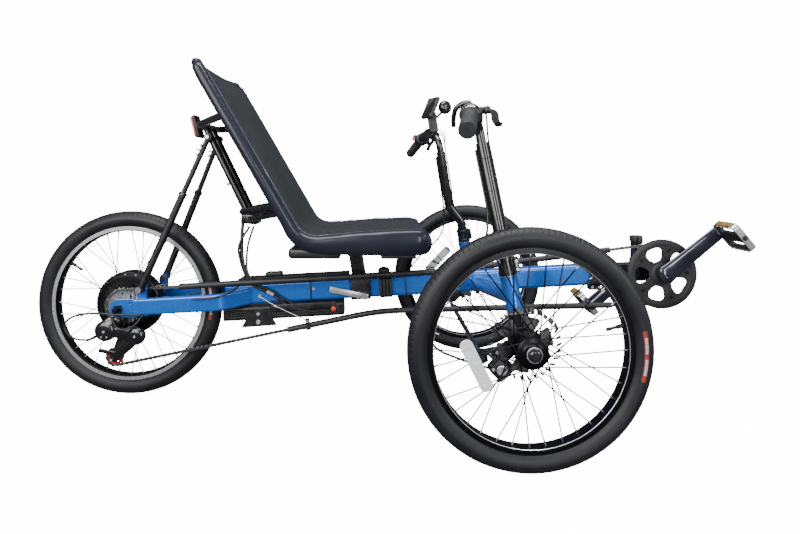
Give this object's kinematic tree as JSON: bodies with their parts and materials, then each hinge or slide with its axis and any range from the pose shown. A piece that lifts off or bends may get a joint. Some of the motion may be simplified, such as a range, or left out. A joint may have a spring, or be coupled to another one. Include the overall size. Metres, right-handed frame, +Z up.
{
  "type": "recumbent trike",
  "caption": "Recumbent tadpole tricycle: mesh seat on a single beam, upright steering bars, chain drive in tubes and a hub motor in the rear wheel.",
  "frame": {"origin": "on the floor, under the middle of the trike's length and width", "axes": "+X forward, +Y to the rider's left, +Z up"},
  "size_m": [1.8722, 1.0924, 0.8939],
  "materials": {
    "tyre": "moulded rubber, matt",
    "black_alloy": "black anodised, satin",
    "steel": "bright, machined",
    "clear_lens": "prismatic reflector, clear",
    "blue_paint": "metallic blue paint, clear coat",
    "black_paint": "black powder coat, satin",
    "grip_rubber": "soft ribbed rubber",
    "cable_black": "extruded sleeve",
    "black_plastic": "moulded, fine grain",
    "dark_steel": "blacked steel",
    "seat_fabric": "woven mesh over foam",
    "red_lens": "prismatic reflector, clear red"
  },
  "bodies": {
    "frame": {"main_beam": "blue_paint", "rear_stays": "blue_paint", "cross_tubes": "blue_paint", "rear_axle": "steel", "boom": "black_paint", "boom_clamp": "black_alloy", "chain": "steel", "chain_tubes": "black_plastic", "rear_derailleur": "black_plastic", "derailleur_pulleys": "steel", "right_seat_rail": "black_paint", "left_seat_rail": "black_paint", "seat_struts": "black_paint", "strut_bolts": "steel", "seat_bows": "black_paint", "centre_tubes": "black_paint", "seat_cross_bars": "black_paint", "seat_post": "black_paint", "seat_clamp": "black_paint", "seat_pan": "seat_fabric", "seat_back": "seat_fabric", "controller": "black_plastic", "beam_case": "black_plastic", "tail_reflector": "red_lens", "cable_bundle": "black_plastic"},
    "right_steering": {"right_knuckle": "black_alloy", "right_caliper": "black_alloy", "right_handlebar": "black_paint", "right_grip": "grip_rubber", "right_brake_lever": "black_alloy", "twist_shifter": "black_plastic", "right_brake_cable": "cable_black"},
    "left_steering": {"left_knuckle": "black_alloy", "left_caliper": "black_alloy", "left_handlebar": "black_paint", "left_grip": "grip_rubber", "left_brake_lever": "black_alloy", "thumb_throttle": "black_plastic", "display": "black_plastic", "left_brake_cable": "cable_black"},
    "tie_rod": {"tie_rod": "black_alloy"},
    "right_front_wheel": {"right_front_tyre": "tyre", "right_front_wheel": "black_alloy", "right_brake_disc": "steel", "right_reflector": "clear_lens"},
    "left_front_wheel": {"left_front_tyre": "tyre", "left_front_wheel": "black_alloy", "left_brake_disc": "steel", "left_reflector": "clear_lens"},
    "rear_wheel": {"rear_tyre": "tyre", "rear_wheel": "black_alloy", "sprockets": "steel"},
    "crankset": {"chainring": "dark_steel", "chainguard": "black_plastic", "crank_axle": "steel", "right_crank": "black_alloy", "left_crank": "black_alloy"},
    "right_pedal": {"right_pedal": "black_plastic"},
    "left_pedal": {"left_pedal": "black_plastic"}
  },
  "joints": [
    {"name": "right_steer", "type": "hinge", "parent": "frame", "child": "right_steering", "pos_m": [0.3128, -0.3165, 0.2535], "axis": [-0.1755, 0.1319, 0.9756], "range_deg": [-25, 25]},
    {"name": "left_steer", "type": "hinge", "parent": "frame", "child": "left_steering", "pos_m": [0.3128, 0.3165, 0.2535], "axis": [-0.1755, -0.1319, 0.9756], "range_deg": [-25, 25]},
    {"name": "tie_rod_swing", "type": "hinge", "parent": "right_steering", "child": "tie_rod", "pos_m": [0.22887, -0.31992, 0.21228], "axis": [-0.1423, 0.1326, 0.9809], "range_deg": [-25, 25]},
    {"name": "right_wheel_spin", "type": "hinge", "parent": "right_steering", "child": "right_front_wheel", "pos_m": [0.3128, -0.381, 0.2535], "axis": [0, 1, 0], "continuous": true},
    {"name": "left_wheel_spin", "type": "hinge", "parent": "left_steering", "child": "left_front_wheel", "pos_m": [0.3128, 0.381, 0.2535], "axis": [0, 1, 0], "continuous": true},
    {"name": "rear_wheel_spin", "type": "hinge", "parent": "frame", "child": "rear_wheel", "pos_m": [-0.6852, 0, 0.2535], "axis": [0, 1, 0], "continuous": true},
    {"name": "crank_spin", "type": "hinge", "parent": "frame", "child": "crankset", "pos_m": [0.7598, 0, 0.34937], "axis": [0, 1, 0], "continuous": true},
    {"name": "right_pedal_spin", "type": "hinge", "parent": "crankset", "child": "right_pedal", "pos_m": [0.8987, 0, 0.46386], "axis": [0, 1, 0], "continuous": true},
    {"name": "left_pedal_spin", "type": "hinge", "parent": "crankset", "child": "left_pedal", "pos_m": [0.62091, 0, 0.23487], "axis": [0, 1, 0], "continuous": true}
  ],
  "couplings": [
    {"joint": "left_steer", "follows": "right_steer", "ratio": 1},
    {"joint": "tie_rod_swing", "follows": "right_steer", "ratio": -1}
  ]
}
